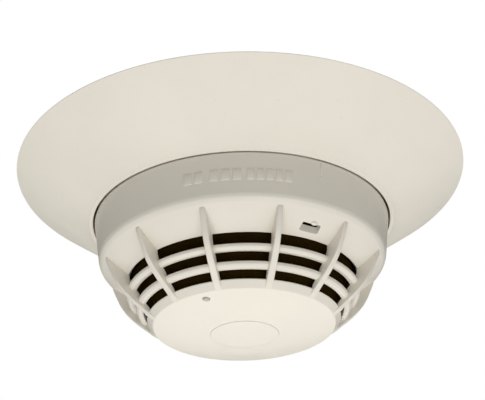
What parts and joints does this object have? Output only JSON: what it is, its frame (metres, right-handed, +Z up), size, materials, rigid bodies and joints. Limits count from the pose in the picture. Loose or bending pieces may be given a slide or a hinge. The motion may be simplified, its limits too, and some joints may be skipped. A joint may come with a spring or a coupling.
{
  "type": "heat detector",
  "caption": "Ceiling heat detector: round vented plug-in head with a domed face and finned side openings, twist-locked into a wide flanged mounting base.",
  "frame": {"origin": "centre of the back face that lies against the ceiling", "axes": "+Z up into the ceiling; the head hangs towards -Z; the tool window in the head's cone is towards +X, -Y"},
  "size_m": [0.155, 0.155, 0.0594],
  "materials": {
    "flange_plastic": "fine satin texture, warm bone white",
    "base_plastic": "satin, warm bone white",
    "cover_plastic": "fine satin texture, warm bone white",
    "badge_plastic": "satin, warm bone white",
    "back_plastic": "satin, warm bone white",
    "lever_plastic": "satin, warm bone white",
    "contact_brass": "stamped, satin",
    "terminal_steel": "zinc plated",
    "screw_steel": "zinc plated",
    "capacitor_sleeve": "shrunk sleeve",
    "thermistor_coating": "glossy epoxy bead",
    "chamber_black": "matt black",
    "screen_mesh": "black fine mesh",
    "board_green": "solder mask",
    "chip_black": "moulded epoxy",
    "reed_glass": "clear green glass",
    "tinned_steel": "tinned",
    "emitter_lens": "clear tinted epoxy",
    "diode_lens": "dark epoxy",
    "led_red": "diffused epoxy",
    "clear_pipe": "clear acrylic, polished"
  },
  "bodies": {
    "base": {"ceiling_flange": "flange_plastic", "mounting_base": "base_plastic", "base_contact_1": "contact_brass", "base_contact_2": "contact_brass", "base_contact_3": "contact_brass", "base_contact_4": "contact_brass", "terminal_clamp_1": "terminal_steel", "terminal_clamp_2": "terminal_steel", "terminal_clamp_3": "terminal_steel", "terminal_clamp_4": "terminal_steel", "terminal_screw_1": "terminal_steel", "terminal_screw_2": "terminal_steel", "terminal_screw_3": "terminal_steel", "terminal_screw_4": "terminal_steel", "lever_pin": "screw_steel"},
    "lever": {"lock_lever": "lever_plastic"},
    "head": {"outer_cover": "cover_plastic", "centre_badge": "badge_plastic", "head_back_cover": "back_plastic", "bayonet_ring": "back_plastic", "head_contact_1": "contact_brass", "head_contact_2": "contact_brass", "head_contact_3": "contact_brass", "head_contact_4": "contact_brass", "circuit_board": "board_green", "head_screw_1": "screw_steel", "head_screw_2": "screw_steel", "head_screw_3": "screw_steel", "microcontroller": "chip_black", "capacitor_1": "capacitor_sleeve", "capacitor_2": "capacitor_sleeve", "reed_switch": "reed_glass", "amplifier_shield": "tinned_steel", "chamber_base": "chamber_black", "chamber_cover": "chamber_black", "ir_emitter": "emitter_lens", "photodiode": "diode_lens", "insect_screen": "screen_mesh", "thermistor_1": "thermistor_coating", "thermistor_2": "thermistor_coating", "indicator_led": "led_red", "light_pipe": "clear_pipe"}
  },
  "joints": [
    {"name": "head_twist", "type": "hinge", "parent": "base", "child": "head", "pos_m": [0, 0, 0], "axis": [0, 0, -1], "range_deg": [0, 15]},
    {"name": "lever_pivot", "type": "hinge", "parent": "base", "child": "lever", "pos_m": [0.03385, -0.02596, -0.0056], "axis": [-0.6652, 0.7466, 0], "range_deg": [0, 6.5], "stiffness_Nm_per_rad": 0.02}
  ]
}
